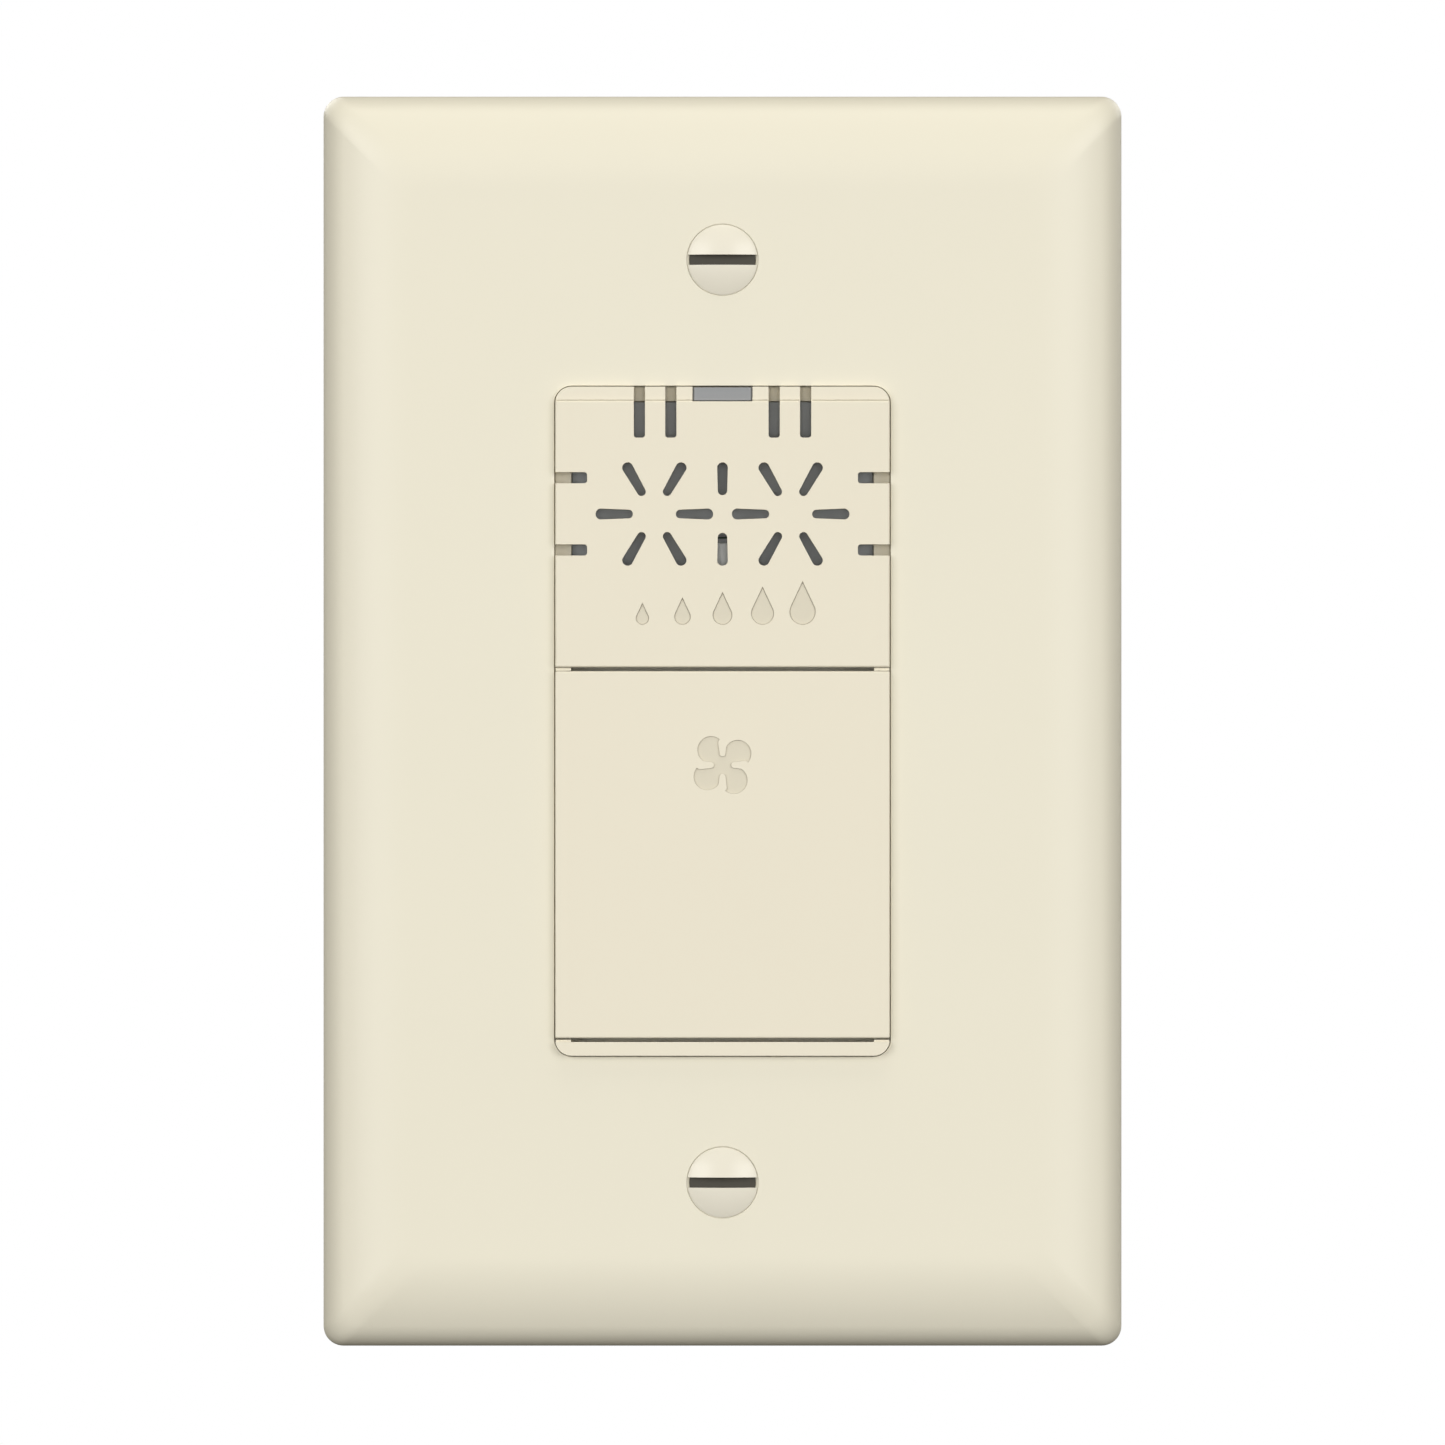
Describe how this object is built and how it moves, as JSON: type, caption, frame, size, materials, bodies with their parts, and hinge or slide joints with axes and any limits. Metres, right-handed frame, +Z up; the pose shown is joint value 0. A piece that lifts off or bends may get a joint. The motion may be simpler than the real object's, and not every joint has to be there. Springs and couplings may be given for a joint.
{
  "type": "humidity-sensing fan switch",
  "caption": "In-wall humidity-sensing fan switch in a light almond wall plate, with slotted vent cover, large push button, steel yoke and rear housing with side terminals.",
  "frame": {"origin": "on the wall's surface, at the back of the steel yoke, midway between the two box screws", "axes": "+X to the right as seen from the room, +Y into the wall, +Z up the wall"},
  "size_m": [0.084, 0.0398, 0.1316],
  "materials": {
    "ivory_plate": "smooth moulded thermoplastic, light almond",
    "ivory_screw_paint": "painted steel",
    "yoke_steel": "zinc plated steel",
    "zinc_screw": "zinc plated steel",
    "fibre": "vulcanised fibre",
    "ivory_face": "smooth moulded thermoplastic, light almond, satin",
    "lens": "translucent diffusing plastic",
    "spring_steel": "spring wire",
    "dark_plastic": "moulded, matt",
    "board": "glass-fibre laminate with solder mask",
    "sensor_case": "moulded sensor package",
    "brass": "bare brass",
    "charcoal_plastic": "moulded, matt",
    "plunger_black": "moulded",
    "dial_blue": "moulded",
    "dial_white": "moulded",
    "led": "clear epoxy",
    "chip_black": "moulded epoxy",
    "pressboard": "pressed board",
    "relay_blue": "moulded",
    "bobbin": "moulded nylon",
    "copper": "enamelled copper wire",
    "relay_iron": "soft iron",
    "film_cap": "epoxy filled box",
    "capacitor_sleeve": "shrink sleeve",
    "varistor_blue": "dipped epoxy",
    "ferrite": "ferrite in shrink sleeve",
    "fuse_body": "ceramic tube with sand coating",
    "nickel_silver": "nickel plated brass",
    "green_screw": "green passivated steel",
    "label": "blank paper label"
  },
  "bodies": {
    "switch": {"wall_plate": "ivory_plate", "wall_plate_screws": "ivory_screw_paint", "mounting_yoke": "yoke_steel", "box_mounting_screws": "zinc_screw", "screw_retainers": "fibre", "front_frame": "ivory_face", "vent_cover": "ivory_face", "indicator_lens": "lens", "button_return_springs": "spring_steel", "sensor_baffle": "dark_plastic", "sensor_board": "board", "humidity_sensor": "sensor_case", "sensor_header": "brass", "control_board": "board", "control_board_screws": "zinc_screw", "button_switch_body": "charcoal_plastic", "humidity_dial_base": "dial_blue", "timer_dial_base": "dial_blue", "indicator_led": "led", "microcontroller": "chip_black", "board_link_header": "chip_black", "insulating_sheet": "pressboard", "power_board": "board", "power_board_screws": "zinc_screw", "relay_base": "relay_blue", "relay_case": "relay_blue", "relay_bobbin": "bobbin", "relay_winding": "copper", "relay_core": "relay_iron", "relay_frame": "relay_iron", "relay_fixed_contact": "copper", "film_capacitor": "film_cap", "electrolytic_capacitors": "capacitor_sleeve", "varistor": "varistor_blue", "power_choke": "ferrite", "bridge_rectifier": "chip_black", "fuse": "fuse_body", "rear_housing": "charcoal_plastic", "housing_screws": "zinc_screw", "hot_terminal_screws": "brass", "neutral_terminal_screw": "nickel_silver", "ground_screw": "green_screw", "terminal_clamps": "zinc_screw", "hot_terminal_strips": "brass", "neutral_terminal_strip": "nickel_silver", "blank_label": "label"},
    "button": {"push_button": "ivory_face"},
    "switch_plunger": {"button_switch_plunger": "plunger_black"},
    "humidity_setting": {"humidity_dial": "dial_white"},
    "timer_setting": {"timer_dial": "dial_white"},
    "relay_lever": {"relay_armature": "relay_iron", "relay_contact_blade": "copper"}
  },
  "joints": [
    {"name": "button_press", "type": "hinge", "parent": "switch", "child": "button", "pos_m": [0, -0.0043, 0.0025], "axis": [1, 0, 0], "range_deg": [0, 1.5], "stiffness_Nm_per_rad": 1, "springref_deg": -1.72, "deforming": ["button_return_springs"]},
    {"name": "plunger_travel", "type": "slide", "parent": "switch", "child": "switch_plunger", "axis": [0, 1, 0], "range_m": [0, 0.00052]},
    {"name": "humidity_dial_turn", "type": "hinge", "parent": "switch", "child": "humidity_setting", "pos_m": [-0.0075, -0.003, -0.0055], "axis": [0, 1, 0], "range_deg": [-135, 135]},
    {"name": "timer_dial_turn", "type": "hinge", "parent": "switch", "child": "timer_setting", "pos_m": [0.0075, -0.003, -0.0055], "axis": [0, 1, 0], "range_deg": [-135, 135]},
    {"name": "relay_close", "type": "hinge", "parent": "switch", "child": "relay_lever", "pos_m": [0, 0.01125, 0.0084], "axis": [-1, 0, 0], "range_deg": [0, 5.5], "stiffness_Nm_per_rad": 0.03, "springref_deg": -2.86}
  ],
  "couplings": [
    {"joint": "plunger_travel", "follows": "button_press", "m_per_rad": 0.0195}
  ]
}
